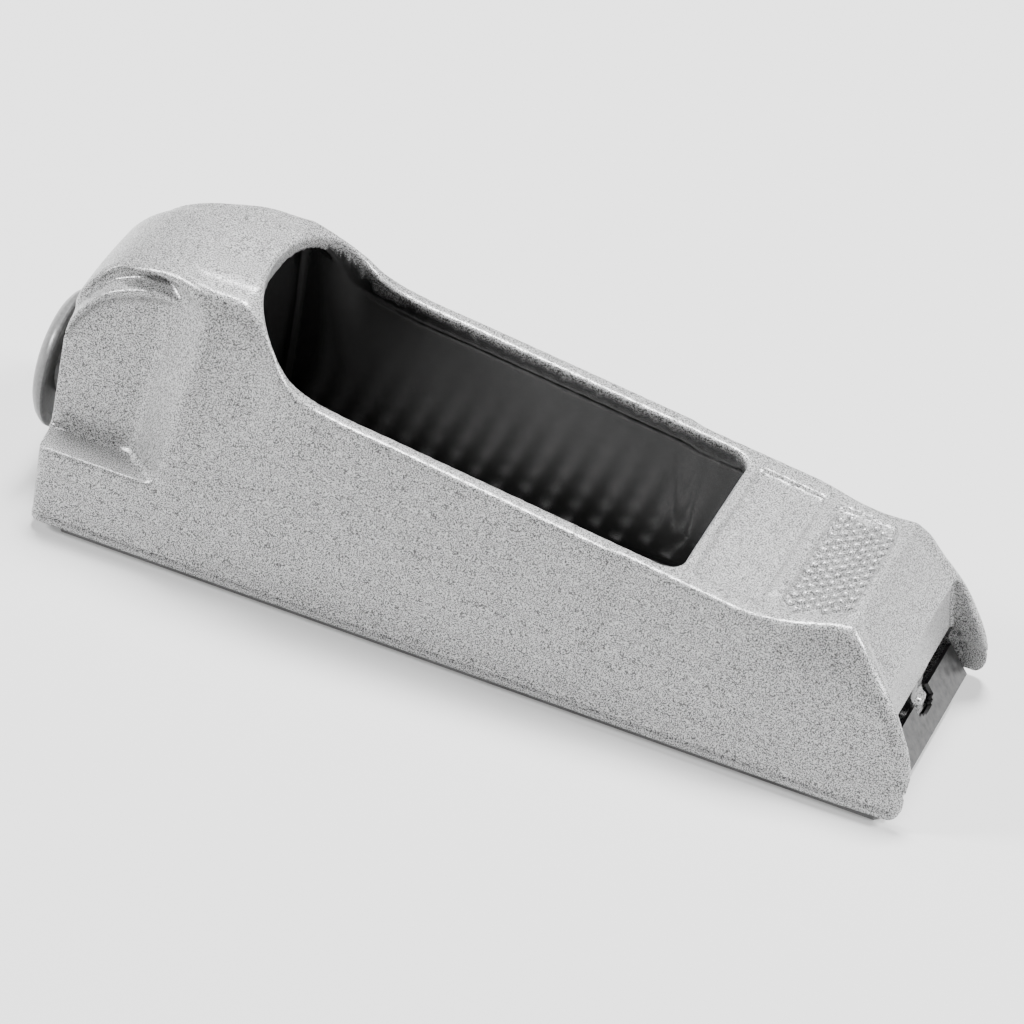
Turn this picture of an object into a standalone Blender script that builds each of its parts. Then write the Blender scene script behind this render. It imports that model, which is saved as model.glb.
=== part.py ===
"""Rasp plane: a die-cast body over a perforated blade that a knob at the heel pulls tight.

Metres, +X towards the toe, +Z up. The tips of the blade's teeth lie in z = 0, and the origin is on
them, midway between the blade's sides. Sizes below are in millimetres.
"""

import math

import bmesh
import bpy

MM = 0.001

# Body: the side view's top line from heel to nose (x, z), and the half width of that line (x, y).
TOP_LINE = [(-72.8, 30.4), (-72.4, 35.0), (-70.6, 40.0), (-67.5, 43.8), (-61.0, 47.9), (-55.0, 49.7),
            (-49.0, 50.2), (-44.0, 50.4), (-41.5, 49.9), (-38.9, 48.5), (-36.0, 45.8), (-34.0, 43.4),
            (-31.5, 40.7), (-28.0, 39.0), (-24.0, 38.1), (34.0, 30.6), (48.0, 28.9), (52.0, 28.7),
            (56.0, 29.1), (60.0, 29.8), (62.5, 30.1)]
NOSE_LINE = [(64.8, 28.1), (67.0, 25.4), (69.4, 22.7), (71.8, 19.7), (74.4, 15.2), (76.1, 11.6),
             (77.2, 7.5), (77.0, 4.6), (76.5, 2.8), (75.6, 1.6)]
CAP_HALF = [(-72.8, 9.6), (-67.5, 10.2), (-61.0, 10.9), (-55.0, 11.6), (-49.0, 13.4), (-43.0, 13.7),
            (-39.0, 14.8), (-36.0, 16.6), (-33.5, 18.2), (-30.0, 18.9), (-26.0, 19.1)]
HEEL_X = -72.8
LIP_Z = 1.6
LIP_HALF = 21.8
LEAN = 0.073
BEAD = (0.4, 3.2)  # how far the bottom bead stands out, and its top
WALL = 2.3
HEEL_CORNER = 3.0
HUMP_FROM_Z = 16.0
SIDE_SCOOP = (22.0, 26.0, 0.6)  # starts, ends, depth
TOE_PINCH = (44.0, 62.0, 3.2)
NOSE_PINCH = (66.0, 76.0, 0.4)

# Throat, and the chambers behind and in front of it.
THROAT_HALF = 16.6
THROAT_FRONT = 34.2
THROAT_CORNER = 3.2
THROAT_REAR = -32.0
THROAT_ARCH = 10.5
REAR_WALL = ((-50.3, -49.4), (-48.0, -44.6))  # x at the sole and at the top: its rear face, its front face
FRONT_WALL = (34.2, 36.8)
NOSE_WALL = (68.3, 70.6)
NOSE_GAP_Z = 10.6
BROW_Z = 20.8
HEEL_CHAMBER_X = -70.3

# Heel pockets, one on each side.
POCKET_FLOOR_Z = 15.2
POCKET_FLOOR_HALF = 14.3
POCKET_DRAFT = 0.14
POCKET_FRONT = ((15.2, -58.2), (30.0, -56.6), (43.0, -55.2))
POCKET_ARCH = [(47.0, -53.0), (46.4, -57.0), (44.6, -61.4), (41.4, -65.4), (35.0, -69.0), (31.0, -69.6)]

# Blade.
BLADE_HALF = 21.0
BLADE_REAR = -67.4
BLADE_FRONT = 74.5
SHEET = 0.8
TEETH = 0.4
FLANGE_RISE = 5.4
FLANGE_LEAN = 4.1
FLANGE_HALF = 20.0
NOTCH = (1.5, 10.0, 3.7)  # y from, y to, z of its floor
FIELD_X = (-60.0, 68.0)
FIELD_HALF = 17.8
HOLE_PITCH = (4.4, 4.0)
HOLE_RADIUS = 1.25

# Tensioner on the screw's axis.
SCREW_Z = 18.0
SCREW_R = 2.5
SCREW_HOLE_R = 2.8
SCREW_X = (-76.6, -53.0)
WASHER = (-73.95, -73.1, 5.8)
KNOB_R = 11.8
CLAMP_X = (-61.9, -60.4)
CLAMP_HALF = 9.3
CLAMP_TOP = 26.0
NUT_X = (-60.1, -56.3)
NUT_HALF = 4.0
TURN_SEGMENTS = 48


def clear_scene():
    for obj in list(bpy.data.objects):
        bpy.data.objects.remove(obj, do_unlink=True)


def lerp(keys, x):
    """The value at x on the polyline through (x, value) keys."""
    if x <= keys[0][0]:
        return keys[0][1]
    for (x0, v0), (x1, v1) in zip(keys, keys[1:]):
        if x <= x1:
            return v0 + (v1 - v0) * (x - x0) / (x1 - x0)
    return keys[-1][1]


def smooth(t):
    t = min(max(t, 0.0), 1.0)
    return t * t * (3.0 - 2.0 * t)


def half_width(x, z):
    """Half the body's width at length x and height z."""
    straight = LIP_HALF - LEAN * (z - LIP_Z)
    width = straight + BEAD[0] * smooth(BEAD[1] - z)
    top = lerp(TOP_LINE, x)
    if x < CAP_HALF[-1][0]:
        t = min(max((z - HUMP_FROM_Z) / (top - HUMP_FROM_Z), 0.0), 1.2)
        width -= (LIP_HALF - LEAN * (top - LIP_Z) - lerp(CAP_HALF, x)) * t ** 1.6
    if x > SIDE_SCOOP[0]:
        start, end, depth = SIDE_SCOOP
        width -= depth * smooth((x - start) / (end - start)) * smooth((z - 5.0) / 5.0)
        start, end, depth = TOE_PINCH
        width -= depth * smooth((x - start) / (end - start)) * max((z - LIP_Z) / 28.0, 0.0) ** 3
        start, end, depth = NOSE_PINCH
        width -= depth * smooth((x - start) / (end - start))
    corner = HEEL_X + HEEL_CORNER - x
    if corner > 0.0:
        width -= HEEL_CORNER - math.sqrt(max(HEEL_CORNER ** 2 - corner ** 2, 0.0))
    return width


def material(name, colour, roughness, metallic):
    mat = bpy.data.materials.new(name)
    mat.use_nodes = True
    shader = mat.node_tree.nodes["Principled BSDF"]
    shader.inputs["Base Color"].default_value = (*colour, 1.0)
    shader.inputs["Roughness"].default_value = roughness
    shader.inputs["Metallic"].default_value = metallic
    return mat


def add_object(name, bm, mat=None):
    bmesh.ops.recalc_face_normals(bm, faces=bm.faces)
    if bm.calc_volume(signed=True) < 0.0:
        bmesh.ops.reverse_faces(bm, faces=bm.faces)
    mesh = bpy.data.meshes.new(name)
    bm.to_mesh(mesh)
    bm.free()
    obj = bpy.data.objects.new(name, mesh)
    bpy.context.scene.collection.objects.link(obj)
    if mat:
        mesh.materials.append(mat)
    return obj


def is_flat(a, b, c, d):
    normal = (c - a).cross(d - b)
    return abs(normal.normalized().dot(b - a)) < 1e-7


def loft(name, rings, mat=None):
    """A closed solid through rings of (x, y, z) points in millimetres, all with as many points."""
    bm = bmesh.new()
    rows = [[bm.verts.new([c * MM for c in point]) for point in ring] for ring in rings]
    count = len(rows[0])
    for a, b in zip(rows, rows[1:]):
        for i in range(count):
            j = (i + 1) % count
            if is_flat(a[i].co, a[j].co, b[j].co, b[i].co):
                bm.faces.new((a[i], a[j], b[j], b[i]))
            else:
                bm.faces.new((a[i], a[j], b[j]))
                bm.faces.new((a[i], b[j], b[i]))
    bm.faces.new(rows[0])
    bm.faces.new(rows[-1])
    return add_object(name, bm, mat)


def side_prism(name, outline, half, offset=0.0, mat=None):
    """The (x, z) outline extruded across the body, from offset - half to offset + half."""
    rings = [[(x, offset + side * half, z) for x, z in outline] for side in (-1, 1)]
    return loft(name, rings, mat)


def box(name, low, high, mat=None):
    outline = [(low[0], low[2]), (high[0], low[2]), (high[0], high[2]), (low[0], high[2])]
    return side_prism(name, outline, (high[1] - low[1]) / 2, (high[1] + low[1]) / 2, mat)


def turned(name, profile, centre_z, mat=None):
    """The (x, radius) profile turned about an axis along X; the object's origin is on it, at centre_z."""
    bm = bmesh.new()
    rows = []
    for k in range(TURN_SEGMENTS):
        angle = 2.0 * math.pi * k / TURN_SEGMENTS
        rows.append([bm.verts.new((x * MM, r * math.cos(angle) * MM, r * math.sin(angle) * MM))
                     for x, r in profile])
    open_ended = profile[0][1] == 0.0
    last = len(profile) - 1 if open_ended else len(profile)
    for k in range(TURN_SEGMENTS):
        a = rows[k]
        b = rows[(k + 1) % TURN_SEGMENTS]
        for i in range(last):
            j = (i + 1) % len(profile)
            bm.faces.new((a[i], a[j], b[j], b[i]))
    bmesh.ops.remove_doubles(bm, verts=bm.verts, dist=1e-7)
    obj = add_object(name, bm, mat)
    obj.location = (0.0, 0.0, centre_z * MM)
    obj.data.shade_smooth()
    obj.data.set_sharp_from_angle(angle=math.radians(35.0))
    return obj


def bore(name, start, end):
    """A cutter for the screw's clearance hole, from x = start to end."""
    profile = [(start, 0.0), (start, SCREW_HOLE_R), (end, SCREW_HOLE_R), (end, 0.0)]
    return turned(name, profile, SCREW_Z)


def combine(target, other, operation):
    """Adds a Boolean to target; the other object becomes a hidden helper."""
    modifier = target.modifiers.new(other.name, "BOOLEAN")
    modifier.operation = operation
    modifier.solver = "EXACT"
    modifier.object = other
    other.hide_render = True
    other.display_type = "WIRE"


def stations(start, end, step):
    count = max(int(round((end - start) / step)), 1)
    return [start + (end - start) * i / count for i in range(count + 1)]


def width_solid():
    """The body's two sides, closed far above and below it."""
    heights = [0.0, 2.4, 4.0, 9.0, 16.0, 22.0, 28.0, 34.0, 40.0, 46.0, 52.0]
    lengths = [-72.79, -72.2, -71.2, -69.8, -65.0] + stations(-61.0, -29.0, 4.0)
    lengths += [-26.0, 0.0, 22.0, 24.0, 26.0] + stations(44.0, 62.0, 4.5) + [66.0, 69.0, 72.0, 75.0, 78.5]
    rings = []
    for x in lengths:
        right = [(x, -half_width(x, z), z) for z in heights]
        left = [(x, half_width(x, z), z) for z in reversed(heights)]
        rings.append(right + left)
    return loft("body_casting", rings, material("cast_metal_paint", (0.62, 0.62, 0.62), 0.42, 0.7))


def outer_profile():
    outline = TOP_LINE + NOSE_LINE + [(HEEL_X, LIP_Z)]
    return side_prism("body_side_view", outline, 30.0)


def throat_cutter():
    """The opening in the top: straight rims, an arch up the hump, rounded front corners."""
    plan = []
    for i in range(13):
        angle = math.pi * (0.5 + i / 12)
        plan.append((THROAT_REAR + THROAT_ARCH * math.cos(angle), THROAT_HALF * math.sin(angle)))
    for side in (-1, 1):
        arc = []
        for i in range(5):
            angle = 0.5 * math.pi * i / 4
            arc.append((THROAT_FRONT - THROAT_CORNER * (1.0 - math.sin(angle)),
                        side * (THROAT_HALF - THROAT_CORNER * (1.0 - math.cos(angle)))))
        plan += arc if side < 0 else arc[::-1]
    return loft("throat_opening", [[(x, y, z) for x, y in plan] for z in (22.0, 58.0)])


def cavity_cutter():
    """The hollow under the throat, inside side walls of even thickness."""
    lengths = [-48.0, -43.6, -40.0, -36.0, -33.0, -30.0, -26.0, 0.0, 22.0, 26.0, FRONT_WALL[0]]
    rings = []
    for x in lengths:
        ceiling = min(lerp(TOP_LINE, x) - 1.45 * WALL, 46.4) if x < -30.0 else 34.0
        heights = [-1.0] + [1.0 + (ceiling - 1.0) * i / 5 for i in range(6)]
        half = [min(half_width(x, z), LIP_HALF) - WALL for z in heights]
        wall = list(zip(half, heights))
        ring = [(x, -y, z) for y, z in wall] + [(x, y, z) for y, z in wall[::-1]]
        if x == lengths[0]:
            foot, head = REAR_WALL[1]
            ring = [(foot + (head - foot) * z / 46.0, y, z) for _, y, z in ring]
        rings.append(ring)
    return loft("throat_cavity", rings)


def heel_chamber_cutter():
    """The chamber under the hump that holds the clamp, open below."""
    def ring(x, top):
        half = [(20.8, -1.0), (20.8, 7.0), (19.0, 7.6), (18.8, 12.4), (11.6, 13.0)]
        half += [(8.4, top - 4.0), (5.5, top)]
        return [(x, -y, z) for y, z in half] + [(x, y, z) for y, z in reversed(half)]
    rings = [ring(HEEL_CHAMBER_X, 33.0), ring(-66.0, 39.0), ring(REAR_WALL[0][0], 45.0)]
    return loft("heel_chamber", rings)


def toe_chamber_cutter():
    """The hollow under the toe platform, open below."""
    def ring(x, top, half_top):
        half = [(19.3, -1.0), (19.3, 5.0), (half_top + 1.0, top * 0.6), (half_top, top)]
        return [(x, -y, z) for y, z in half] + [(x, y, z) for y, z in reversed(half)]
    rings = [ring(FRONT_WALL[1], 27.0, 16.0), ring(58.0, 26.0, 13.8), ring(NOSE_WALL[0], 18.6, 13.8)]
    return loft("toe_chamber", rings)


def nose_recess_cutter():
    """The space between the two cheeks, in front of the nose wall."""
    def ring(x):
        half = [(20.3, -1.0), (20.3, 6.5), (18.0, 9.6), (16.6, BROW_Z)]
        return [(x, -y, z) for y, z in half] + [(x, y, z) for y, z in reversed(half)]
    return loft("nose_recess", [ring(NOSE_WALL[1]), ring(82.0)])


def pocket_cutter(side):
    """A heel pocket: a leaning floor, an arched top and a slanting front wall, open at the back."""
    def floor(z):
        return POCKET_FLOOR_HALF - POCKET_DRAFT * (z - POCKET_FLOOR_Z)
    outline = [(-80.0, POCKET_FLOOR_Z, 0.0, 0.0)]
    outline += [(x, z, 1.15, 0.0) for z, x in POCKET_FRONT]
    outline += [(x, z, 0.0, 0.1) for z, x in POCKET_ARCH]
    outline.append((-80.0, 24.0, 0.0, 0.1))
    reach = 14.0
    inner = [(x, side * floor(z), z) for x, z, _, _ in outline]
    outer = [(x + slant * reach, side * (floor(z) + reach), z + rise * reach)
             for x, z, slant, rise in outline]
    return loft("heel_pocket", [inner, outer])


def panel_cutter():
    """The shallow plain panel behind the finger pad."""
    depth = 0.6
    floor = [(x, lerp(TOP_LINE, x) - depth) for x in (36.2, 47.2)]
    return side_prism("toe_panel", floor + [(47.2, 40.0), (36.2, 40.0)], 15.2)


def finger_pad_cutter():
    """The pocket that holds the knurl, narrower towards the nose."""
    depth = 0.7
    plan = [(50.0, 14.8), (55.5, 14.0), (60.6, 12.0)]
    corners = [(x, -y) for x, y in plan] + [(x, y) for x, y in plan[::-1]]
    low = [(x, y, lerp(TOP_LINE, x) - depth) for x, y in corners]
    return loft("finger_pad", [low, [(x, y, 40.0) for x, y, _ in low]])


def build_body():
    body = width_solid()
    combine(body, outer_profile(), "INTERSECT")
    for side in (-1, 1):
        combine(body, pocket_cutter(side), "DIFFERENCE")
    for cutter in (throat_cutter(), cavity_cutter(), heel_chamber_cutter(), toe_chamber_cutter(),
                   nose_recess_cutter(), panel_cutter(), finger_pad_cutter()):
        combine(body, cutter, "DIFFERENCE")
    gap = box("nose_gap", (66.0, -18.9, -1.0), (72.0, 18.9, NOSE_GAP_Z))
    combine(body, gap, "DIFFERENCE")
    flange_room = box("flange_room", (69.0, -20.3, -1.0), (72.0, 20.3, 7.4))
    combine(body, flange_room, "DIFFERENCE")
    combine(body, bore("screw_hole", -75.0, -66.0), "DIFFERENCE")
    ledge = side_prism("blade_ledge", [(66.6, 1.7), (71.6, 1.7), (70.4, 3.6), (66.6, 3.6)], 20.6)
    combine(body, ledge, "UNION")
    lug = [(68.4, 2.6), (70.2, 2.6), (70.2, 5.0), (72.4, 5.0), (72.5, 6.2), (70.9, 8.8), (70.3, 12.0),
           (68.4, 12.0)]
    combine(body, side_prism("blade_lug", lug, 2.1, 4.2), "UNION")
    return body


def blade_section():
    """The blade along its length: a flat sheet with both ends bent up and inwards."""
    top = TEETH + FLANGE_RISE
    lean = FLANGE_LEAN
    skew = SHEET / math.sin(math.atan2(FLANGE_RISE, lean))
    inset = SHEET * lean / (FLANGE_RISE - TEETH)
    under = [(BLADE_REAR + lean, top), (BLADE_REAR + 0.3, TEETH + 0.5), (BLADE_REAR + 0.7, TEETH),
             (BLADE_FRONT - 0.7, TEETH), (BLADE_FRONT - 0.3, TEETH + 0.5), (BLADE_FRONT - lean, top)]
    over = [(BLADE_FRONT - lean - skew, top - 0.2), (BLADE_FRONT - skew - inset, TEETH + SHEET),
            (BLADE_REAR + skew + inset, TEETH + SHEET), (BLADE_REAR + lean + skew, top - 0.2)]
    return under + over


def hole_centres():
    """Staggered rows of tooth holes, with a plain spot at the origin."""
    pitch_x, pitch_y = HOLE_PITCH
    columns = int((FIELD_X[1] - FIELD_X[0] - 4.0) / pitch_x)
    rows = int((2.0 * FIELD_HALF - 3.0) / pitch_y)
    for i in range(-columns // 2, columns // 2 + 1):
        x = (FIELD_X[0] + FIELD_X[1]) / 2 + (i + 0.5) * pitch_x
        count = rows - 1 if i % 2 else rows
        for j in range(count):
            yield x, (j - (count - 1) / 2) * pitch_y


def holes_cutter():
    bm = bmesh.new()
    for x, y in hole_centres():
        corners = [(x + HOLE_RADIUS * math.cos(a), y + HOLE_RADIUS * math.sin(a))
                   for a in (0.0, 2.0 * math.pi / 3, 4.0 * math.pi / 3)]
        low = [bm.verts.new((cx * MM, cy * MM, -1.0 * MM)) for cx, cy in corners]
        high = [bm.verts.new((cx * MM, cy * MM, 3.0 * MM)) for cx, cy in corners]
        bm.faces.new(low)
        bm.faces.new(high)
        for a in range(3):
            b = (a + 1) % 3
            bm.faces.new((low[a], low[b], high[b], high[a]))
    return add_object("tooth_holes", bm)


def build_blade():
    steel = material("blade_steel", (0.06, 0.06, 0.065), 0.4, 0.9)
    blade = side_prism("rasp_blade", blade_section(), FLANGE_HALF, 0.0, steel)
    low = (BLADE_REAR + 1.2, -BLADE_HALF, TEETH)
    high = (BLADE_FRONT - 1.2, BLADE_HALF, TEETH + SHEET)
    combine(blade, box("blade_strip", low, high), "UNION")
    low = (FIELD_X[0], -FIELD_HALF, 0.0)
    high = (FIELD_X[1], FIELD_HALF, TEETH + 0.4)
    combine(blade, box("tooth_field", low, high), "UNION")
    combine(blade, holes_cutter(), "DIFFERENCE")
    notch_from, notch_to, floor = NOTCH
    front = box("front_notch", (BLADE_FRONT - 8.0, notch_from, floor), (BLADE_FRONT + 2.0, notch_to, 12.0))
    rear = box("rear_notch", (BLADE_REAR - 2.0, -notch_to, floor), (BLADE_REAR + 8.0, -notch_from, 12.0))
    combine(blade, front, "DIFFERENCE")
    combine(blade, rear, "DIFFERENCE")
    return blade


def build_knob():
    rubber = material("knob_plastic", (0.035, 0.035, 0.038), 0.38, 0.0)
    profile = [(-77.0, 0.0), (-77.0, SCREW_HOLE_R), (-74.25, SCREW_HOLE_R), (-74.25, 5.8), (-75.6, 6.2),
               (-75.8, 9.6), (-75.0, 10.2), (-75.0, KNOB_R - 0.3), (-75.2, KNOB_R), (-76.2, 11.5),
               (-77.2, 10.6), (-77.9, 8.6), (-78.2, 5.0), (-78.3, 0.0)]
    return turned("knob", profile, SCREW_Z, rubber)


def build_screw():
    steel = material("screw_steel", (0.55, 0.55, 0.56), 0.3, 1.0)
    start, end = SCREW_X
    profile = [(start, 0.0), (start, SCREW_R), (end - 0.8, SCREW_R), (end, SCREW_R - 0.7), (end, 0.0)]
    return turned("tension_screw", profile, SCREW_Z, steel)


def build_washer():
    steel = material("washer_steel", (0.6, 0.6, 0.61), 0.3, 1.0)
    start, end, radius = WASHER
    profile = [(start, SCREW_HOLE_R), (start, radius), (end, radius), (end, SCREW_HOLE_R)]
    return turned("knob_washer", profile, SCREW_Z, steel)


def build_clamp():
    """A bent bracket: an upright plate, two guide cheeks, and a hook under the blade's rear flange."""
    steel = material("clamp_steel", (0.5, 0.5, 0.52), 0.35, 1.0)
    rear, front = CLAMP_X
    hook = [(-64.9, 1.7), (front, 1.7), (front, CLAMP_TOP), (rear, CLAMP_TOP), (rear, 3.2), (-63.8, 3.2)]
    clamp = side_prism("blade_clamp", hook, CLAMP_HALF, 0.0, steel)
    for side in (-1, 1):
        low = CLAMP_HALF - 1.5 if side > 0 else -CLAMP_HALF
        cheek = box("clamp_cheek", (front - 0.7, low, 5.0), (-55.6, low + 1.5, 24.0))
        combine(clamp, cheek, "UNION")
    combine(clamp, bore("clamp_hole", -66.0, -60.0), "DIFFERENCE")
    return clamp


def build_nut():
    steel = material("nut_steel", (0.5, 0.5, 0.52), 0.35, 1.0)
    low = (NUT_X[0], -NUT_HALF, SCREW_Z - NUT_HALF)
    high = (NUT_X[1], NUT_HALF, SCREW_Z + NUT_HALF)
    nut = box("clamp_nut", low, high, steel)
    combine(nut, bore("nut_hole", -62.0, -55.0), "DIFFERENCE")
    return nut


def main():
    clear_scene()
    build_body()
    build_blade()
    build_knob()
    build_screw()
    build_washer()
    build_clamp()
    build_nut()


main()
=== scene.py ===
"""The looks of the rasp plane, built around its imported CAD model.

Lengths in this script are in millimetres in the row frame (+X to the toe, +Z up, teeth tips at z = 0)
until a mesh is made. The casting is one signed distance field, negative inside, meshed on a fine grid.
"""

import math

import bpy
import numpy as np
from mathutils import Matrix, Vector


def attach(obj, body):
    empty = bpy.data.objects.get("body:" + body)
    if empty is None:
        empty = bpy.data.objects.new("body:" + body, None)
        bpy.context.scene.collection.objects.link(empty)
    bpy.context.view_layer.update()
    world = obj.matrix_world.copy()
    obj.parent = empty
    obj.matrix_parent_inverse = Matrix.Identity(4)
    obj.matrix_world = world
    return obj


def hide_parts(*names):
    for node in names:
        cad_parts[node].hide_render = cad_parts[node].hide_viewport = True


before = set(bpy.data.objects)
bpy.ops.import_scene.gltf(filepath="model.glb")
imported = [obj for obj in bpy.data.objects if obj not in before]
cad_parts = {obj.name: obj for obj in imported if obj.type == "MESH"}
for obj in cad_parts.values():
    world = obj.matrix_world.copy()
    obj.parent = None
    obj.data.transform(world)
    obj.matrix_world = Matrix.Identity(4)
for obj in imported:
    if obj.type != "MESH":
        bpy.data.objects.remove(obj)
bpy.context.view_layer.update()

MM = 0.001
SHARP_ANGLE = math.radians(38.0)

# ---------------------------------------------------------------- casting: sizes

# The side view's outline as (x, z): the top from the heel to the toe, then down the nose.
TOP_LINE = [(-72.8, 30.4), (-72.4, 35.0), (-70.6, 40.0), (-67.5, 43.8), (-61.0, 47.9), (-55.0, 49.7),
            (-49.0, 50.2), (-44.0, 50.4), (-41.5, 49.9), (-38.9, 48.5), (-36.0, 45.8), (-34.0, 43.4),
            (-31.5, 40.7), (-28.0, 39.0), (-24.0, 38.1), (-14.0, 36.8), (10.0, 33.7), (34.0, 30.6),
            (42.0, 29.6), (48.0, 28.9), (52.0, 28.7), (56.0, 29.1), (60.0, 29.8), (62.5, 30.1)]
NOSE_LINE = [(64.8, 28.1), (67.0, 25.4), (69.4, 22.7), (71.8, 19.7), (74.4, 15.2), (76.1, 11.6),
             (77.2, 7.5), (77.0, 4.6), (76.5, 2.8), (75.6, 1.6)]
# Half the width of the hump's top, as (x, half).
CAP_HALF = [(-72.8, 9.6), (-67.5, 10.2), (-61.0, 10.9), (-55.0, 11.6), (-49.0, 13.4), (-43.0, 13.7),
            (-39.0, 14.8), (-36.0, 16.6), (-33.5, 18.2), (-30.0, 18.9), (-26.0, 19.1)]
# The top edge of a heel pocket, as (x, z).
ARCH_LINE = [(-90.0, 28.0), (-74.0, 32.0), (-71.0, 38.0), (-68.4, 42.0), (-65.3, 44.9),
             (-62.0, 46.4), (-58.0, 47.5), (-54.6, 47.7), (-51.0, 47.2), (-44.0, 44.5)]
HEEL_X, FOOT_X = -72.8, 75.6                # the ends of the casting's underside
UNDER_Z = -12.0                             # below everything; the outline closes here
TOP_LIMIT = 50.12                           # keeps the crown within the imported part's height
LIP_Z = 1.6                                 # the lower rim of the side walls
WALL = 2.3
SKIN_MIDDLE, SKIN_ENDS = 2.5, 2.6           # metal between the outline and each hollow
SHELF_Z = 15.2                              # the heel's step, at the foot of the pockets
BROW_Z = 20.8                               # the top of the recess in the nose
SCREW_Z = 18.0
BORE_RADIUS, BORE_END = 2.9, -66.0
THROAT_HALF, THROAT_FRONT = 16.6, 34.2
THROAT_BACK, THROAT_ARCH = -32.0, 10.5      # where the rims end, and the rear curve's depth
THROAT_CORNER = 3.4
# Half the width of the hollow under the hump, as (z, half), then of the one under the toe, as (x, half)
# with what the height adds, as (z, more), and that hollow's roof, as (x, z).
HEEL_HALF = [(6.6, 20.8), (7.4, 19.0), (12.2, 18.8), (13.2, 11.6), (40.0, 7.6)]
TOE_BACK, TOE_FRONT = 36.8, 68.3
TOE_HALF = [(TOE_BACK, 16.0), (58.0, 13.8), (TOE_FRONT, 13.8)]
TOE_SPREAD = [(5.0, 3.3), (25.0, 0.0)]
TOE_ROOF = [(TOE_BACK, 27.0), (58.0, 25.5), (TOE_FRONT, 18.6)]
PAD_X, PAD_REACH = 55.4, 5.3                # the finger pad's middle, and half its length
PAD_HALF = [(49.5, 15.0), (55.5, 14.0), (61.5, 11.8)]
FACE_RUN, FACE_DROP = 7.4, 9.4              # the slope of the flat face between the cheeks
# Half the width of the recess between the cheeks, as (z, half).
RECESS_HALF = [(6.2, 20.2), (9.6, 18.0), (14.0, 17.2), (BROW_Z, 16.6)]
FINE_CELL, QUICK_CELL = 0.4, 0.8            # the grid that the casting is meshed on
FIELD_LOW, FIELD_HIGH = (HEEL_X - 1.3, -22.9, 0.3), (78.6, 22.9, 51.8)
CASTING_FACES = 96000.0


def smooth(t):
    t = np.clip(t, 0.0, 1.0)
    return t * t * (3.0 - 2.0 * t)


def curve_through(points, per_span=6):
    """A dense smooth line through the points: cubic spans whose ends lean as their neighbours do."""
    p = np.array(points, float)
    chord = np.r_[0.0, np.cumsum(np.linalg.norm(np.diff(p, axis=0), axis=1))]
    slope = np.gradient(p, chord, axis=0)
    out = []
    for i in range(len(p) - 1):
        h = chord[i + 1] - chord[i]
        t = np.arange(per_span)[:, None] / per_span
        out.append((2 * t ** 3 - 3 * t ** 2 + 1) * p[i] + (t ** 3 - 2 * t ** 2 + t) * h * slope[i]
                   + (3 * t ** 2 - 2 * t ** 3) * p[i + 1] + (t ** 3 - t ** 2) * h * slope[i + 1])
    return np.vstack(out + [p[-1:]])


TOP_DENSE = np.minimum(curve_through(TOP_LINE), (np.inf, TOP_LIMIT))
CAP_DENSE = curve_through(CAP_HALF)
ARCH_DENSE = curve_through(ARCH_LINE)


def read_off(table, place):
    """A measure read off a table of (place, measure) rows."""
    table = np.asarray(table)
    return np.interp(place, table[:, 0], table[:, 1])


def top_z(x):
    return read_off(TOP_DENSE, x)


def cap_half(x):
    return read_off(CAP_DENSE, x)


def arch_z(x):
    """The height of a heel pocket's top edge."""
    return read_off(ARCH_DENSE, x)


def base_half(z):
    """Half the width of the walls, which lean in as they rise."""
    return 21.8 - 0.073 * (z - LIP_Z)


def heel_floor(z):
    """Half the width that the heel pockets leave between them."""
    return 14.3 - 0.14 * (z - SHELF_Z)


def half_width(x, z):
    """Half the body's width; x and z broadcast."""
    width = base_half(z) + 0.4 * smooth((3.3 - z) / 0.7)
    top = top_z(x)
    depth = np.maximum(top - z, 0.0)
    hump_foot = 16.0
    t = np.clip((z - hump_foot) / (top - hump_foot), 0.0, 1.15)
    hump = base_half(top) - cap_half(x)
    flare = hump * (1.0 - t ** 1.6) * smooth((depth - 1.6) / 2.6)
    hump_width = cap_half(x) + flare + (base_half(z) - base_half(top))
    on_hump = smooth((-25.0 - x) / 5.0) * (z > hump_foot)
    width = width + on_hump * (hump_width - base_half(z))
    # The toe is a little slimmer, and its sides round over towards the top and the tip.
    width = width - 0.6 * smooth((x - 22.0) / 4.0) * smooth((z - 5.0) / 5.0)
    width = width - 3.4 * smooth((x - 44.0) / 16.0) * np.maximum((z - LIP_Z) / 28.0, 0.0) ** 3.6
    width = width - 0.4 * smooth((x - 66.0) / 10.0)
    return width


# ---------------------------------------------------------------- distance fields

def round_max(a, b, r):
    """Both solids' common part, its edge rounded to radius r."""
    return np.minimum(-r, np.maximum(a, b)) + np.hypot(np.maximum(a + r, 0.0), np.maximum(b + r, 0.0))


def round_min(a, b, r):
    """Both solids together, the corner between them filled to radius r."""
    return -round_max(-a, -b, r)


def polygon_distance(outline, u, v):
    """Signed distance in the plane to a closed outline, for broadcast coordinate arrays u and v."""
    u, v = np.broadcast_arrays(u, v)
    best = np.full(u.shape, 1e9)
    inside = np.zeros(u.shape, bool)
    for (u0, v0), (u1, v1) in zip(outline, np.roll(outline, -1, axis=0)):
        du, dv = u1 - u0, v1 - v0
        length = du * du + dv * dv
        if length < 1e-12:
            continue
        t = np.clip(((u - u0) * du + (v - v0) * dv) / length, 0.0, 1.0)
        best = np.minimum(best, (u - u0 - t * du) ** 2 + (v - v0 - t * dv) ** 2)
        if v0 != v1:
            crosses = ((v0 <= v) != (v1 <= v)) & (u < u0 + (v - v0) * du / dv)
            inside ^= crosses
    return np.where(inside, -1.0, 1.0) * np.sqrt(best)


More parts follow.
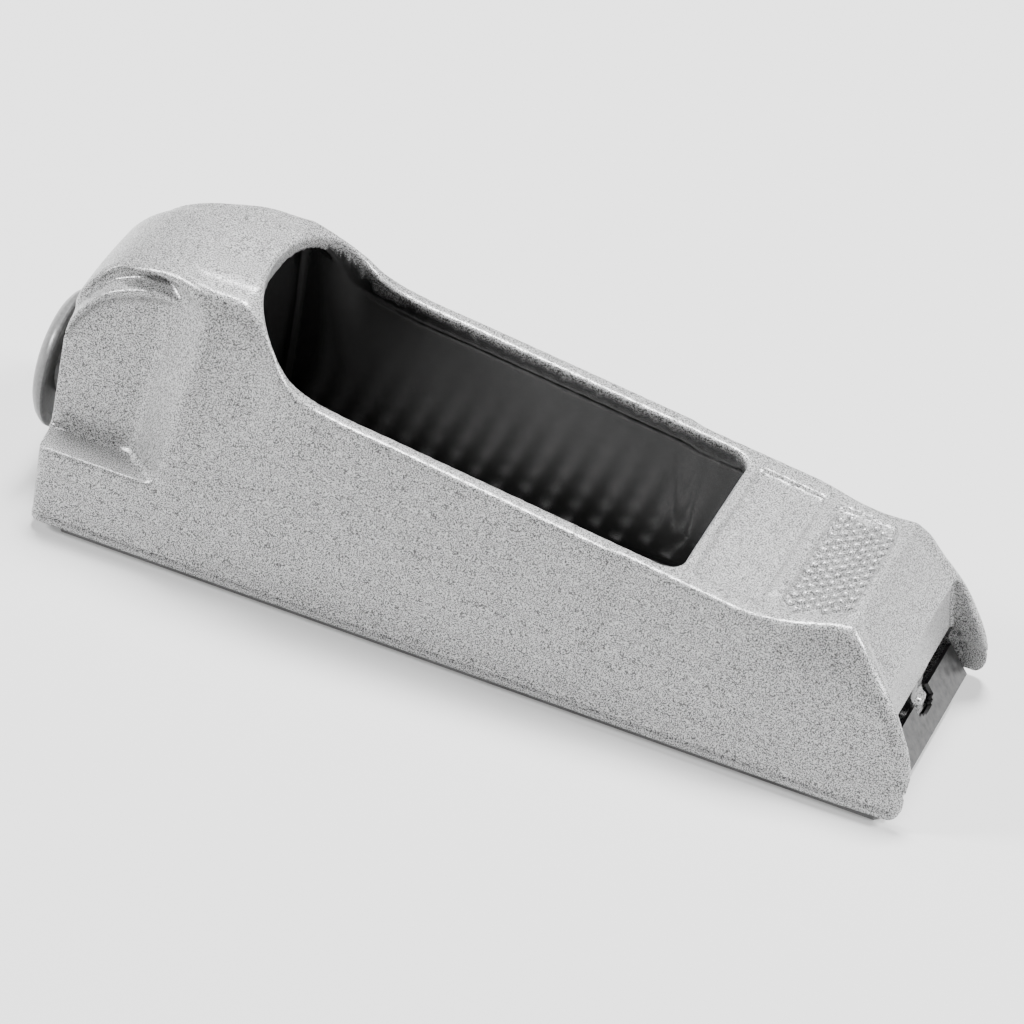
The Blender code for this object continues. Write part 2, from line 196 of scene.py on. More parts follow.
def box_field(x, y, z, low, high, r=0.0):
    """A box with its edges rounded to radius r."""
    q = [np.abs(c - (a + b) / 2) - (b - a) / 2 + r for c, a, b in zip((x, y, z), low, high)]
    outside = np.sqrt(sum(np.maximum(c, 0.0) ** 2 for c in q))
    return outside + np.minimum(np.maximum(np.maximum(q[0], q[1]), q[2]), 0.0) - r


def outer_field(x, ya, z):
    """The casting with nothing cut out of it yet, its side view's distance and its half width."""
    nose = curve_through([TOP_LINE[-1]] + NOSE_LINE)
    outline = np.vstack([TOP_DENSE, nose[1:], [(FOOT_X, UNDER_Z), (HEEL_X, UNDER_Z)]])
    side = polygon_distance(outline, x, z)
    w = half_width(x, z)
    wx = np.gradient(w, x.ravel(), axis=0)
    wz = np.gradient(w, z.ravel(), axis=2)
    width = (ya - w) / np.sqrt(1.0 + wx ** 2 + wz ** 2)
    crown = 0.6 * smooth((-30.0 - x) / 12.0) * (ya / 13.0) ** 2
    heel = smooth((-66.0 - x) / 5.0) * smooth((SHELF_Z + 4.0 - z) / 4.0)
    nose_soft = smooth((x - 60.0) / 6.0)
    edge = (0.75 + 0.9 * heel
            + 1.6 * nose_soft * smooth((29.5 - z) / 7.0) * smooth((z - 2.0) / 7.0)
            + 0.5 * smooth((-34.0 - x) / 8.0) * (1.0 - heel))
    solid = round_max(side + crown, width, edge)
    return round_max(solid, LIP_Z - z, 0.5), side, w


def heel_core_field(x, ya, z, side):
    """The narrow block that the heel pockets leave standing, undercut below its cap, with a ledge."""
    floor = heel_floor(z)
    below = arch_z(x) - z
    fore = smooth((-51.0 - x) / 4.0)
    undercut = 1.7 * smooth((3.0 - below) / 1.0) * fore
    ledge = 1.3 * smooth((below - 2.0) / 1.0) * smooth((6.4 - below) / 3.4) * fore
    wall = (ya - floor + undercut - ledge) * 0.8
    return round_max(side, wall, 1.2)


def heel_zone_field(x, ya, z):
    """The space of a heel pocket, endless outwards."""
    floor = heel_floor(z)
    slant = 1.15 + 0.3 * smooth((z - 30.0) / 12.0)
    front = -58.2 + 0.11 * (z - SHELF_Z) + slant * (ya - floor)
    wall = (x - front) / np.sqrt(1.0 + slant ** 2)
    over = (z - arch_z(x)) * 0.85
    return round_max(round_max(wall, over, 1.2), SHELF_Z - z, 1.8)


def throat_plan_field(x, ya):
    """The throat from above: straight rims, an elliptical rear end and rounded front corners."""
    angles = np.linspace(math.pi / 2, math.pi, 24)
    arch = np.c_[THROAT_BACK + THROAT_ARCH * np.cos(angles), THROAT_HALF * np.sin(angles)]
    corner = np.linspace(math.pi / 2, 0.0, 9)
    front = np.c_[THROAT_FRONT - THROAT_CORNER + THROAT_CORNER * np.cos(corner),
                  THROAT_HALF - THROAT_CORNER + THROAT_CORNER * np.sin(corner)]
    half = np.vstack([front[::-1], arch])
    outline = np.vstack([half, (half * (1, -1))[::-1]])
    return polygon_distance(outline, x, ya)


def casting_field(x, y, z):
    """The whole casting: the outer shape, then the pockets, the hollows, the platform and the nose."""
    ya = np.abs(y)
    outer, side, w = outer_field(x, ya, z)
    core = heel_core_field(x, ya, z, side)
    body = round_max(outer, -heel_zone_field(x, ya, z), 0.55)
    body = round_min(body, round_max(core, outer, 0.3), 0.8)
    body = round_max(body, -throat_field(x, ya, z, side, w), 0.55)
    body = round_max(body, -heel_hollow_field(x, ya, z, side), 0.3)
    bore = np.maximum(np.hypot(y, z - SCREW_Z) - BORE_RADIUS, x - BORE_END)
    body = np.maximum(body, -bore)
    body = round_max(body, -toe_hollow_field(x, ya, z, side), 0.3)
    return nose_field(platform_field(body, x, ya, z), x, y, ya, z)


def throat_field(x, ya, z, side, w):
    """The room between the walls, open below, and the throat that opens it to the top."""
    room = round_max(side + SKIN_MIDDLE, (ya - (w - WALL)), 2.0)
    rear_wall = -46.9 + 0.074 * z
    room = round_max(room, rear_wall - x, 1.5)
    room = round_max(room, x - THROAT_FRONT, 1.5)
    throat = np.maximum(throat_plan_field(x, ya), 20.0 - z)
    return np.minimum(room, throat)


def heel_hollow_field(x, ya, z, side):
    """The hollow under the hump, wide at the rim and narrow between the pockets."""
    hollow = round_max(side + SKIN_ENDS, (ya - read_off(HEEL_HALF, z)), 1.0)
    return round_max(hollow, x + 50.3 - 0.04 * z, 1.0)


def toe_hollow_field(x, ya, z, side):
    """The hollow under the toe, its roof following the platform and the nose."""
    half = read_off(TOE_HALF, x) + read_off(TOE_SPREAD, z)
    ends = round_max(TOE_BACK - x, x - TOE_FRONT, 1.0)
    hollow = round_max(round_max(side + SKIN_ENDS, ya - half, 1.0), ends, 1.0)
    return round_max(hollow, z - read_off(TOE_ROOF, x), 0.8)


def platform_field(body, x, ya, z):
    """The panel, the ridge and the finger pad on the toe, and the flat face between the cheeks."""
    surface = z - top_z(x)
    panel = round_max(np.abs(x - 41.8) - 5.6, ya - 15.2, 1.0)
    body = round_max(body, -round_max(panel, -surface - 0.55, 0.2), 0.35)
    pad = round_max(np.abs(x - PAD_X) - PAD_REACH, ya - read_off(PAD_HALF, x), 1.6)
    body = round_max(body, -round_max(pad, -surface - 0.6, 0.15), 0.3)
    face = ((x - 63.0) * FACE_DROP + (z - 30.0) * FACE_RUN) / math.hypot(FACE_DROP, FACE_RUN)
    cheeks = half_width(np.minimum(x, 72.0), z) - 2.4
    return round_max(body, -round_max(-face, ya - cheeks, 1.2), 0.8)


def nose_field(body, x, y, ya, z):
    """The recess between the cheeks, the mouth behind the blade's flange, its ledge and its lug."""
    recess_half = read_off(RECESS_HALF, z)
    back = 70.6 + 0.12 * (10.0 - z)
    recess = round_max(round_max(back - x, ya - recess_half, 0.3), z - BROW_Z, 0.2)
    wing = half_width(x, z) - recess_half
    lip = np.clip(0.35 * wing, 0.3, 1.3) * smooth((x - 71.5) / 2.5)
    body = round_max(body, -recess, np.maximum(lip, 0.35))
    mouth = box_field(x, ya, z, (66.0, -18.9, -3.0), (72.0, 18.9, 10.6), 0.4)
    body = round_max(body, -mouth, 0.3)
    room = box_field(x, ya, z, (69.0, -20.3, -3.0), (73.0, 20.3, 7.4), 0.3)
    body = np.maximum(body, -room)
    lean = 0.63
    slope = (x - 71.6 + (z - 1.7) * lean) / math.hypot(1.0, lean)
    ledge = np.maximum(np.maximum(np.maximum(66.6 - x, slope), np.abs(z - 2.6) - 0.95), ya - 20.6)
    body = np.minimum(body, ledge)
    column = box_field(x, y, z, (68.4, 2.1, 2.6), (70.3, 6.3, 12.0), 0.5)
    hook = box_field(x, y, z, (69.0, 2.6, 5.0), (71.6, 5.6, 6.8), 0.7)
    lug = round_min(column, hook, 0.9)
    return round_min(body, lug, 0.5)


# ---------------------------------------------------------------- surface of a field

def surface_net(field, low, cell):
    """Vertices and quads of the field's zero surface: one vertex in each cell that it crosses."""
    inside = field < 0.0
    shape = tuple(n - 1 for n in field.shape)
    count = np.zeros(shape, np.uint8)
    corners = [(i, j, k) for i in (0, 1) for j in (0, 1) for k in (0, 1)]
    for i, j, k in corners:
        count += inside[i:i + shape[0], j:j + shape[1], k:k + shape[2]]
    cells = np.argwhere((count > 0) & (count < 8))
    number = np.full(shape, -1, np.int32)
    number[tuple(cells.T)] = np.arange(len(cells))
    total = np.zeros((len(cells), 3))
    hits = np.zeros(len(cells))
    steps = np.eye(3, dtype=int)
    for axis, step in enumerate(steps):
        for corner in corners:
            if corner[axis]:
                continue
            a = field[tuple((cells + corner).T)]
            b = field[tuple((cells + corner + step).T)]
            crossed = (a < 0.0) != (b < 0.0)
            t = np.where(crossed, a / np.where(crossed, a - b, 1.0), 0.0)
            total += np.where(crossed, 1.0, 0.0)[:, None] * (np.array(corner) + t[:, None] * step)
            hits += crossed
    points = (cells + total / hits[:, None]) * cell + low
    quads = []
    for axis in range(3):
        u, v = [d for d in range(3) if d != axis]
        first = np.take(inside, range(field.shape[axis] - 1), axis)
        second = np.take(inside, range(1, field.shape[axis]), axis)
        edges = np.argwhere(first != second)
        edges = edges[(edges[:, u] > 0) & (edges[:, v] > 0)
                      & (edges[:, u] < shape[u]) & (edges[:, v] < shape[v])]
        flip = first[tuple(edges.T)] == (axis == 1)
        du, dv = steps[u], steps[v]
        ring = [number[tuple((edges - s).T)] for s in (du + dv, dv, 0, du)]
        quad = np.stack(ring, 1)
        quad[flip] = quad[flip][:, ::-1]
        quads.append(quad)
    return points, np.vstack(quads)


# ---------------------------------------------------------------- objects

def add_object(name, data):
    obj = bpy.data.objects.new(name, data)
    bpy.context.scene.collection.objects.link(obj)
    return obj


def mesh_object(name, points, faces):
    """A mesh object from arrays of points in millimetres and of faces with equal corner counts."""
    mesh = bpy.data.meshes.new(name)
    mesh.vertices.add(len(points))
    mesh.vertices.foreach_set("co", (np.asarray(points) * MM).astype(np.float32).ravel())
    sides = faces.shape[1]
    mesh.loops.add(faces.size)
    mesh.loops.foreach_set("vertex_index", faces.astype(np.int32).ravel())
    mesh.polygons.add(len(faces))
    mesh.polygons.foreach_set("loop_start", np.arange(0, faces.size, sides, dtype=np.int32))
    mesh.update(calc_edges=True)
    mesh.validate()
    mesh.shade_smooth()
    return add_object(name, mesh)


def surface_object(name, points, faces):
    """A smooth-shaded object from lists of points in millimetres and of faces."""
    mesh = bpy.data.meshes.new(name)
    mesh.from_pydata([[c * MM for c in p] for p in points], [], faces)
    mesh.validate()
    mesh.shade_smooth()
    mesh.set_sharp_from_angle(angle=SHARP_ANGLE)
    return add_object(name, mesh)


def apply_modifiers(obj):
    """Give the object the mesh that its modifiers make, and drop them."""
    graph = bpy.context.evaluated_depsgraph_get()
    obj.data = bpy.data.meshes.new_from_object(obj.evaluated_get(graph))
    obj.modifiers.clear()


# ---------------------------------------------------------------- casting: the object

def inner_amount(x, y, z):
    """1 on the unpainted dark surfaces inside the casting, fading to 0 across the paint's ragged edge; 0.9
    as painted shade in the nose's mouth and the toe hollow.
    """
    ya = np.abs(y)
    depth = top_z(x) - z
    ragged = 0.5 * np.sin(2.3 * y + 1.7 * x) + 0.35 * np.sin(5.1 * y - 3.3 * x + 2.0 * z)
    skin = half_width(x, z) - 1.3
    throat = (ya < skin) & (x > -48.2) & (x < THROAT_FRONT + 1.2)
    edge = 0.8 + 1.8 * smooth((-24.0 - x) / 8.0)
    fade = smooth((depth - edge + 0.7 * ragged * smooth((-22.0 - x) / 6.0)) / 0.8)
    # The mouth behind the blade's flange and the toe hollow take the dark colour as painted shade.
    mouth = (ya < 19.4) & (x > 64.0) & (x < 70.5) & (z < 10.8) & (z > 4.2)
    chamber = (ya < skin) & (x > 36.0) & (x < 60.0) & (depth > 2.2)
    return np.where(throat, fade, 0.0) + np.where((mouth | chamber) & ~throat, 0.9, 0.0)


def build_casting():
    """The casting's mesh, with the inner attribute that its paint reads."""
    cell = FINE_CELL
    low, high = np.array(FIELD_LOW), np.array(FIELD_HIGH)
    count = np.ceil((high - low) / cell).astype(int) + 1
    x = (low[0] + cell * np.arange(count[0]))[:, None, None]
    y = (low[1] + cell * np.arange(count[1]))[None, :, None]
    z = (low[2] + cell * np.arange(count[2]))[None, None, :]
    field = casting_field(x, y, z)
    points, quads = surface_net(field, low, cell)
    casting = mesh_object("casting", points, quads)
    thin = casting.modifiers.new("thin", "DECIMATE")
    thin.ratio = min(1.0, CASTING_FACES / len(quads))
    apply_modifiers(casting)
    places = np.empty(3 * len(casting.data.vertices), np.float32)
    casting.data.vertices.foreach_get("co", places)
    places = places.reshape(-1, 3) / MM
    inner = casting.data.attributes.new("inner", "FLOAT", "POINT")
    inner.data.foreach_set("value", inner_amount(*places.T).astype(np.float32))
    return casting


# ---------------------------------------------------------------- finger pad's knurl

NUB_PITCH_X, NUB_PITCH_Y = 1.4, 2.16
NUB_SIDES = 8
NUB_RINGS = ((0.95, -0.75), (0.9, -0.5), (0.62, -0.1), (0.4, 0.02))     # (radius, rise)
NUB_MARGIN_X, NUB_MARGIN_Y = 4.6, 1.1       # reach along the pad, and gap to its sides


def build_nubs():
    """The diamonds of the finger pad's knurl."""
    points, faces = [], []
    for i in range(-4, 5):
        for j in range(-7, 8):
            x = PAD_X + NUB_PITCH_X * i
            y = NUB_PITCH_Y * j + NUB_PITCH_Y / 2 * (i % 2)
            if abs(x - PAD_X) > NUB_MARGIN_X or abs(y) > read_off(PAD_HALF, x) - NUB_MARGIN_Y:
                continue
            first = len(points)
            for radius, rise in NUB_RINGS:
                for k in range(NUB_SIDES):
                    angle = 2.0 * math.pi * k / NUB_SIDES
                    reach = radius if k % 2 == 0 else radius * 0.8
                    px, py = x + reach * math.cos(angle), y + reach * math.sin(angle)
                    points.append((px, py, float(top_z(px)) + rise))
            for ring in range(first, len(points) - NUB_SIDES, NUB_SIDES):
                for k in range(NUB_SIDES):
                    a, b = ring + k, ring + (k + 1) % NUB_SIDES
                    faces.append((a, b, b + NUB_SIDES, a + NUB_SIDES))
            faces.append(tuple(range(len(points) - NUB_SIDES, len(points))))
            faces.append(tuple(range(first + NUB_SIDES - 1, first - 1, -1)))
    return surface_object("grip_nubs", points, faces)


# ---------------------------------------------------------------- perforated blade

PITCH_X = 4.4                               # a tile's length; its width is TILE_STEPS
TILES = 29                                  # tiles along the blade
TILE_STEPS = 4                              # grid steps along each side of a tile
BLADE_MIDDLE = 4.0
BLADE_STEPS = 42                            # grid steps of 1 mm across the blade
BLADE_HALF, END_HALF = 21.0, 20.0
SHEET, SKIN_Z = 0.8, 0.4                    # the thickness, and the height of the lower skin
HOLE_RADIUS, HOLE_CORNER = 1.28, 0.28
RIM_REACH, TOOTH_DIP = 1.35, 0.36
TOE_TIP, HEEL_TIP = 74.4, -67.3
NOTCH_LOW, NOTCH_HIGH = 2.0, 9.0            # across the blade, from its middle line
NOTCH_ROW = 5                               # the row of the bent end where the notch begins
NOTCH_ROUNDING = {5: 2.0, 6: 1.0}           # how much narrower the notch is on its first rows


def hole_ring(cx, cy):
    """The (x, y, lean) points of a tooth's rounded triangular hole, one for each corner of a border."""
    ring = []
    for k in range(4 * TILE_STEPS):
        angle = math.radians(225.0 + 22.5 * k)
        radius = HOLE_RADIUS - HOLE_CORNER * math.cos(3.0 * angle)
        ring.append((cx + radius * math.cos(angle), cy + radius * math.sin(angle), math.cos(angle)))
    return ring


def tile_border(ix, iy):
    """The grid corners around a tile whose lower left corner is (ix, iy)."""
    n = TILE_STEPS
    return ([(ix + k, iy) for k in range(n)] + [(ix + n, iy + k) for k in range(n)]
            + [(ix + n - k, iy + n) for k in range(n)] + [(ix, iy + n - k) for k in range(n)])


def add_tile(points, faces, grid, ix, iy):
    """A tile with its hole: the metal around it dips towards the tooth's cutting edge."""
    border = [grid[corner] for corner in tile_border(ix, iy)]
    sides = len(border)
    cx = sum(points[b][0] for b in border) / sides
    cy = sum(points[b][1] for b in border) / sides
    first = len(points)
    hole = hole_ring(cx, cy)
    for hx, hy, _ in hole:
        points.append((cx + (hx - cx) * RIM_REACH, cy + (hy - cy) * RIM_REACH, SKIN_Z))
    for hx, hy, lean in hole:
        points.append((hx, hy, SKIN_Z - TOOTH_DIP * max(0.0, lean)))
    for k in range(sides):
        n = (k + 1) % sides
        faces.append((border[k], border[n], first + n, first + k))
        faces.append((first + k, first + n, first + sides + n, first + sides + k))


def add_end(points, faces, edge, side):
    """A bent-up end: the sheet turns up through a bend and leans back over the blade, with a notch."""
    tip = TOE_TIP if side > 0 else HEEL_TIP
    path = [(1.6, SKIN_Z), (0.7, 0.42), (0.22, 0.62), (0.12, 1.0)]      # (distance from the tip, z)
    path += [(0.12 + 0.745 * (z - 1.0), z) for z in (3.4, 3.7, 4.1, 4.9, 5.75)]
    previous = edge
    for row, (back, z) in enumerate(path):
        half = BLADE_HALF if row < 1 else END_HALF
        current = []
        for k in range(BLADE_STEPS + 1):
            y = (k - BLADE_STEPS // 2) * half / BLADE_HALF
            points.append((tip - side * back, y, z))
            current.append(len(points) - 1)
        for k in range(BLADE_STEPS):
            middle = side * (k + 0.5 - BLADE_STEPS / 2)
            inset = NOTCH_ROUNDING.get(row, 0.0)
            if row >= NOTCH_ROW and NOTCH_LOW + inset < middle < NOTCH_HIGH - inset:
                continue
            quad = (previous[k], previous[k + 1], current[k + 1], current[k])
            faces.append(quad if side < 0 else quad[::-1])
        previous = current


def build_blade():
    """The perforated sheet, made as its lower skin and thickened upwards."""
    points, faces, grid = [], [], {}
    start = BLADE_MIDDLE - TILES * PITCH_X / 2
    length = TILE_STEPS * TILES
    for ix in range(length + 1):
        for iy in range(BLADE_STEPS + 1):
            grid[ix, iy] = len(points)
            points.append((start + ix * PITCH_X / TILE_STEPS, iy - BLADE_HALF, SKIN_Z))
    taken = set()
    for ix in range(0, length, TILE_STEPS):
        odd = ix // TILE_STEPS % 2          # every other column has a hole fewer, half a tile over
        for row in range(9 - odd):
            iy = 3 + TILE_STEPS * row + 2 * odd
            add_tile(points, faces, grid, ix, iy)
            taken.update((ix + a, iy + b) for a in range(TILE_STEPS) for b in range(TILE_STEPS))
    for ix in range(length):
        for iy in range(BLADE_STEPS):
            if (ix, iy) not in taken:
                faces.append((grid[ix, iy], grid[ix + 1, iy], grid[ix + 1, iy + 1], grid[ix, iy + 1]))
    for ix, side in ((0, -1), (length, 1)):
        add_end(points, faces, [grid[ix, k] for k in range(BLADE_STEPS + 1)], side)
    used = sorted({v for face in faces for v in face})
    renumber = {v: n for n, v in enumerate(used)}
    blade = surface_object("perforated_blade", [points[v] for v in used],
                           [tuple(renumber[v] for v in face) for face in faces])
    thick = blade.modifiers.new("thick", "SOLIDIFY")
    thick.thickness = SHEET * MM
    thick.offset = 1.0
    thick.use_even_offset = True
    apply_modifiers(blade)
    blade.data.set_sharp_from_angle(angle=SHARP_ANGLE)
    return blade


# ---------------------------------------------------------------- pieces on the screw's axis

WELD_DISTANCE = 0.000002                    # in metres; joins the ring of points at the axis


def lathe(name, profile, steps):
    """The (x, radius) profile turned about the screw's axis and welded where it meets itself."""
    points, faces = [], []
    count = len(profile)
    for k in range(steps):
        angle = 2.0 * math.pi * k / steps
        points += [(x, r * math.cos(angle), SCREW_Z + r * math.sin(angle)) for x, r in profile]
    for k in range(steps):
        a, b = count * k, count * ((k + 1) % steps)
        for i in range(count - 1):
            faces.append((a + i, b + i, b + i + 1, a + i + 1))
    obj = surface_object(name, points, faces)
    weld = obj.modifiers.new("weld", "WELD")
    weld.merge_threshold = WELD_DISTANCE
    apply_modifiers(obj)
    return obj


def build_knob():
    """The knob: a thick rounded rim, a face dished towards its middle, a stepped back."""
    profile = [(-77.0, 0.01), (-77.0, 2.8), (-74.25, 2.8), (-74.25, 5.7), (-75.5, 6.1), (-75.7, 9.6),
               (-75.05, 10.1), (-75.0, 11.3), (-75.1, 11.6), (-75.35, 11.78), (-75.8, 11.75), (-76.3, 11.4),
               (-76.9, 10.9), (-77.5, 10.0), (-77.85, 9.0), (-78.0, 8.0), (-77.9, 7.2), (-77.6, 6.6),
               (-77.6, 4.6), (-77.9, 4.2), (-78.2, 3.4), (-78.25, 1.8), (-78.28, 0.01)]
    return lathe("tension_knob", profile, 96)


def build_screw():
    """The screw: a plain shank where it turns in the casting, then its thread."""
    profile = [(-76.55, 0.01), (-76.55, 2.2), (-76.3, 2.48), (-70.0, 2.48)]
    thread_start, thread_end, thread_pitch = -69.8, -54.4, 0.75
    x = thread_start
    while x < thread_end:
        profile += [(x, 2.1), (x + 0.12, 2.05), (x + 0.38, 2.45), (x + 0.5, 2.45)]
        x += thread_pitch
    profile += [(-53.8, 2.1), (-53.05, 1.6), (-53.02, 0.01)]
    return lathe("threaded_screw", profile, 48)


def build_washer():
    """The washer between the knob and the casting's heel."""
    profile = [(-73.93, 2.85), (-73.95, 3.0), (-73.95, 5.55), (-73.8, 5.78), (-73.25, 5.78), (-73.1, 5.55),
               (-73.1, 3.0), (-73.13, 2.85), (-73.93, 2.85)]
    return lathe("rim_washer", profile, 64)


# ---------------------------------------------------------------- materials

def new_material(name):
    mat = bpy.data.materials.new(name)
    mat.use_nodes = True
    tree = mat.node_tree
    shader = tree.nodes["Principled BSDF"]
    return mat, tree, shader


def grain_noise(tree, scale, detail, stretch=None):
    """Noise fixed to the object, pulled out along it where a stretch is given."""
    nodes, links = tree.nodes, tree.links
    place = nodes.new("ShaderNodeTexCoord")
    grain = nodes.new("ShaderNodeTexNoise")
    grain.inputs["Scale"].default_value = scale
    grain.inputs["Detail"].default_value = detail
    grain.inputs["Roughness"].default_value = 0.6
    source = place.outputs["Object"]
    if stretch:
        mapping = nodes.new("ShaderNodeMapping")
        mapping.inputs["Scale"].default_value = stretch
        links.new(source, mapping.inputs["Vector"])
        source = mapping.outputs["Vector"]
    links.new(source, grain.inputs["Vector"])
    return grain.outputs["Fac"]


def spread(tree, value, low, high, out_low, out_high):
    """The value with low..high mapped to out_low..out_high."""
    node = tree.nodes.new("ShaderNodeMapRange")
    for key, number in (("From Min", low), ("From Max", high), ("To Min", out_low), ("To Max", out_high)):
        node.inputs[key].default_value = number
    tree.links.new(value, node.inputs["Value"])
    return node.outputs["Result"]


def grey_of(tree, value):
    node = tree.nodes.new("ShaderNodeCombineColor")
    for channel in ("Red", "Green", "Blue"):
        tree.links.new(value, node.inputs[channel])
    return node.outputs["Color"]


def bumped(tree, shader, value, strength, distance):
    bump = tree.nodes.new("ShaderNodeBump")
    bump.inputs["Strength"].default_value = strength
    bump.inputs["Distance"].default_value = distance
    tree.links.new(value, bump.inputs["Height"])
    tree.links.new(bump.outputs["Normal"], shader.inputs["Normal"])


def casting_paint():
    """Grainy silver-grey paint, with unpainted dark metal and painted shade where the inner attribute is 1.
    """
    mat, tree, shader = new_material("casting_paint")
    link = tree.links.new
    fine = grain_noise(tree, 5200.0, 0.0)
    broad = grain_noise(tree, 700.0, 2.0)
    paint = tree.nodes.new("ShaderNodeMath")
    paint.operation = "ADD"
    link(spread(tree, fine, 0.34, 0.66, 0.06, 0.50), paint.inputs[0])
    link(spread(tree, broad, 0.3, 0.7, -0.02, 0.02), paint.inputs[1])
    inner = tree.nodes.new("ShaderNodeAttribute")
    inner.attribute_name = "inner"
    mix = tree.nodes.new("ShaderNodeMix")
    mix.data_type = "RGBA"
    link(inner.outputs["Fac"], mix.inputs["Factor"])
    link(grey_of(tree, paint.outputs["Value"]), mix.inputs["A"])
    # The dark colour falls off towards the heel end of the throat, as painted shade under the hump.
    place = tree.nodes.new("ShaderNodeTexCoord")
    apart = tree.nodes.new("ShaderNodeSeparateXYZ")
    link(place.outputs["Object"], apart.inputs["Vector"])
    bare_and_shade = spread(tree, apart.outputs["X"], -0.045, 0.0, 0.03, 0.21)
    link(grey_of(tree, bare_and_shade), mix.inputs["B"])
    link(mix.outputs["Result"], shader.inputs["Base Color"])
    link(spread(tree, inner.outputs["Fac"], 0.0, 1.0, 0.33, 0.17), shader.inputs["Roughness"])
    link(spread(tree, inner.outputs["Fac"], 0.0, 1.0, 0.3, 0.85), shader.inputs["Metallic"])
    bumped(tree, shader, fine, 0.2, 0.00006)
    return mat


def worn_steel(name, dark, bright, roughness):
    """Satin steel with fine scratches along the part."""
    mat, tree, shader = new_material(name)
    scratch = grain_noise(tree, 900.0, 3.0, (0.12, 1.0, 1.0))
    tone = spread(tree, scratch, 0.3, 0.7, dark, bright)
    tree.links.new(grey_of(tree, tone), shader.inputs["Base Color"])
    rough = spread(tree, scratch, 0.3, 0.7, roughness - 0.06, roughness + 0.08)
    tree.links.new(rough, shader.inputs["Roughness"])
    shader.inputs["Metallic"].default_value = 0.9
    bumped(tree, shader, scratch, 0.2, 0.00003)
    return mat


def knob_plastic():
    """Dark grey plastic with a slight grain."""
    mat, tree, shader = new_material("knob_plastic")
    fine = grain_noise(tree, 1500.0, 2.0)
    tone = spread(tree, fine, 0.3, 0.7, 0.10, 0.15)
    tree.links.new(grey_of(tree, tone), shader.inputs["Base Color"])
    shader.inputs["Roughness"].default_value = 0.3
    bumped(tree, shader, fine, 0.15, 0.00003)
    return mat


# ---------------------------------------------------------------- studio

IMAGE_PX = 1024.0
FOCAL_PX = 6034.7
SHIFT_X_PX, SHIFT_Y_PX = 21.9, 81.8
SENSOR_WIDTH = 36.0
VIEW_AZIMUTH, VIEW_ELEVATION, VIEW_ROLL = 16.8, 38.1, 8.81
VIEW_DISTANCE, VIEW_LIFT = 961.7, 0.4
WHITE = (1.0, 1.0, 1.0, 1.0)
FLOOR_GREY = (0.5, 0.5, 0.5, 1.0)
FLOOR_REACH = 3.0
LIGHT_TARGET = (0, 0, 0.02)
LIGHTS = [                                  # (name, place and size in metres, watts)
    ("top", (-0.15, 0.3, 1.1), (0.35, 0.3), 40.0),
    ("heel_side", (-1.05, -0.4, 0.7), (0.25, 0.25), 26.0),
    ("toe_side", (0.9, 0.15, 0.7), (0.25, 0.3), 26.0),
    ("near_side", (0.1, -1.2, 0.6), (0.8, 0.5), 1.0),
]


def build_camera():
    """The photo's view: from above the near side (-Y), a little towards the toe, rolled, off centre."""
    a, e, roll = (math.radians(v) for v in (VIEW_AZIMUTH, VIEW_ELEVATION, VIEW_ROLL))
    back = Vector((math.sin(a) * math.cos(e), -math.cos(a) * math.cos(e), math.sin(e)))
    right = Vector((math.cos(a), math.sin(a), 0.0))
    up = back.cross(right)
    c, s = math.cos(roll), math.sin(roll)
    right, up = c * right + s * up, -s * right + c * up
    turn = Matrix((right, up, back)).transposed().to_4x4()
    data = bpy.data.cameras.new("camera")
    data.sensor_width = SENSOR_WIDTH
    data.lens = FOCAL_PX * SENSOR_WIDTH / IMAGE_PX
    data.shift_x = SHIFT_X_PX / IMAGE_PX
    data.shift_y = SHIFT_Y_PX / IMAGE_PX
    data.clip_start, data.clip_end = 0.01, 20.0
    camera = add_object("camera", data)
    place = back * VIEW_DISTANCE * MM + Vector((0, 0, VIEW_LIFT * MM))
    camera.matrix_world = Matrix.Translation(place) @ turn
    bpy.context.scene.camera = camera


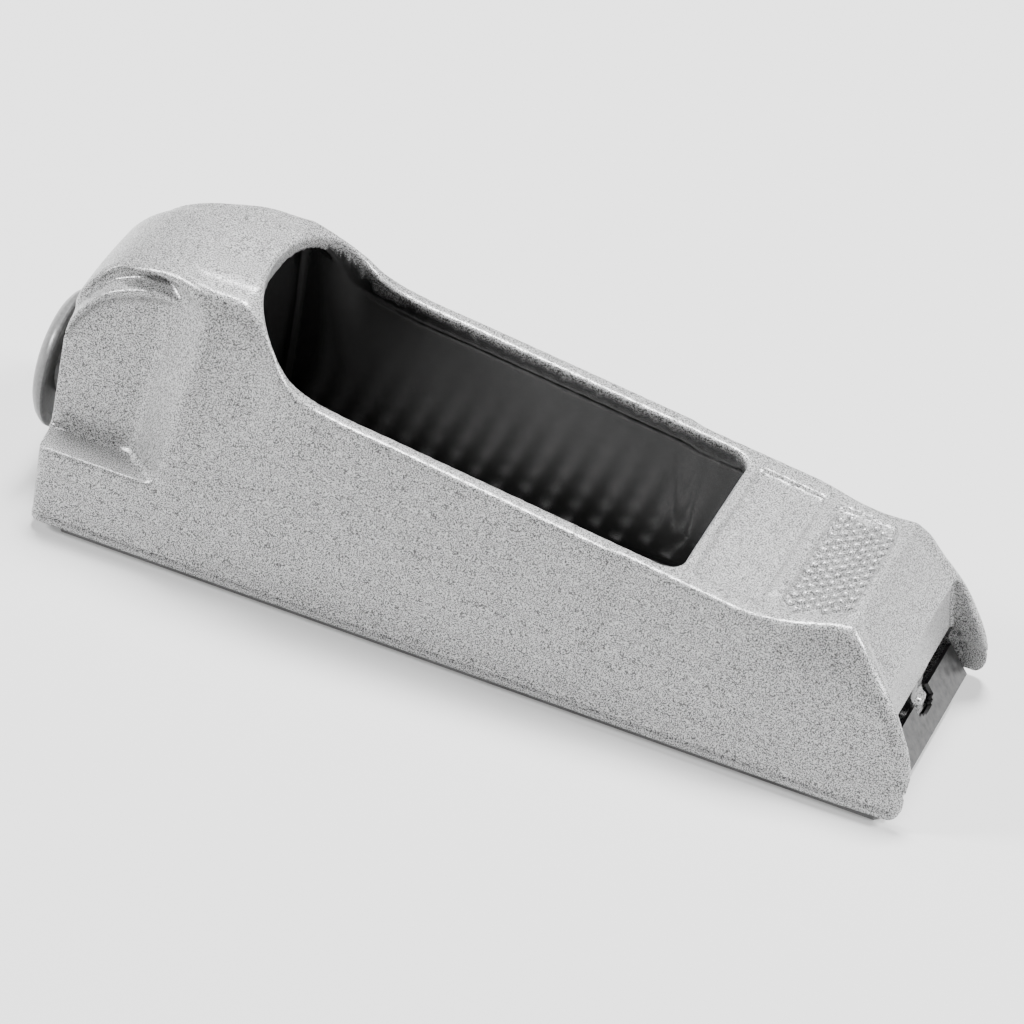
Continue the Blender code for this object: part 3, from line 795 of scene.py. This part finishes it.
def area_light(name, place, size, power):
    data = bpy.data.lights.new(name, "AREA")
    data.shape = "RECTANGLE"
    data.size, data.size_y = size
    data.energy = power
    light = add_object(name, data)
    light.location = place
    light.rotation_mode = "QUATERNION"
    light.rotation_quaternion = (Vector(LIGHT_TARGET) - Vector(place)).to_track_quat("-Z", "Y")


def build_studio():
    """A white floor that glows a little, a dim white world and four lights."""
    mesh = bpy.data.meshes.new("floor")
    corners = [(-1, -1), (1, -1), (1, 1), (-1, 1)]
    mesh.from_pydata([(FLOOR_REACH * x, FLOOR_REACH * y, 0) for x, y in corners], [], [(0, 1, 2, 3)])
    floor = add_object("floor", mesh)
    mat, _, shader = new_material("floor_white")
    shader.inputs["Base Color"].default_value = FLOOR_GREY
    shader.inputs["Roughness"].default_value = 0.9
    shader.inputs["Emission Color"].default_value = WHITE
    shader.inputs["Emission Strength"].default_value = 0.3
    mesh.materials.append(mat)
    world = bpy.data.worlds.new("studio")
    world.use_nodes = True
    background = world.node_tree.nodes["Background"]
    background.inputs["Color"].default_value = WHITE
    background.inputs["Strength"].default_value = 0.1
    bpy.context.scene.world = world
    for name, place, size, power in LIGHTS:
        area_light(name, place, size, power)


def carried_node(name, mat):
    """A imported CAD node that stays, under a procedural material."""
    node = bpy.data.objects[name]
    node.data.materials.clear()
    node.data.materials.append(mat)


def dress(obj, mat, body, node):
    """Give a piece its material and body and, unless it's extra, hide the CAD node it replaces."""
    obj.data.materials.append(mat)
    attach(obj, body)
    if node:
        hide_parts(node)


def main():
    build_camera()
    build_studio()
    paint = casting_paint()
    fitting = worn_steel("fitting_steel", 0.42, 0.62, 0.3)
    dress(build_casting(), paint, "body", "body_casting")
    dress(build_nubs(), paint, "body", None)
    dress(build_blade(), worn_steel("blade_steel", 0.10, 0.17, 0.36), "blade", "rasp_blade")
    dress(build_knob(), knob_plastic(), "knob", "knob")
    dress(build_screw(), fitting, "knob", "tension_screw")
    dress(build_washer(), fitting, "knob", "knob_washer")
    carried_node("blade_clamp", fitting)
    carried_node("clamp_nut", fitting)


main()
